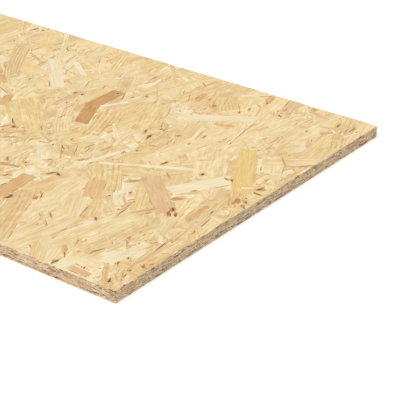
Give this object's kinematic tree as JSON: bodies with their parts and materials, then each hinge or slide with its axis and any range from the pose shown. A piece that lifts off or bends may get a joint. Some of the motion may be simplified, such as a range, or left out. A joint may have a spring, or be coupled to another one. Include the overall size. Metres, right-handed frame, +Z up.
{
  "type": "oriented strand board panel",
  "caption": "Flat rectangular sheet of pressed wood strands with square sawn edges, used as sheathing, decking or flooring.",
  "frame": {"origin": "middle of the underside, on the surface that the panel lies on", "axes": "+X along the panel's length, +Y along its width, +Z up through its thickness"},
  "size_m": [1.2, 0.6, 0.018],
  "materials": {
    "pressed_strands": "pressed pale softwood strands, unsanded, satin"
  },
  "bodies": {
    "root": {"osb_panel": "pressed_strands"}
  },
  "joints": []
}
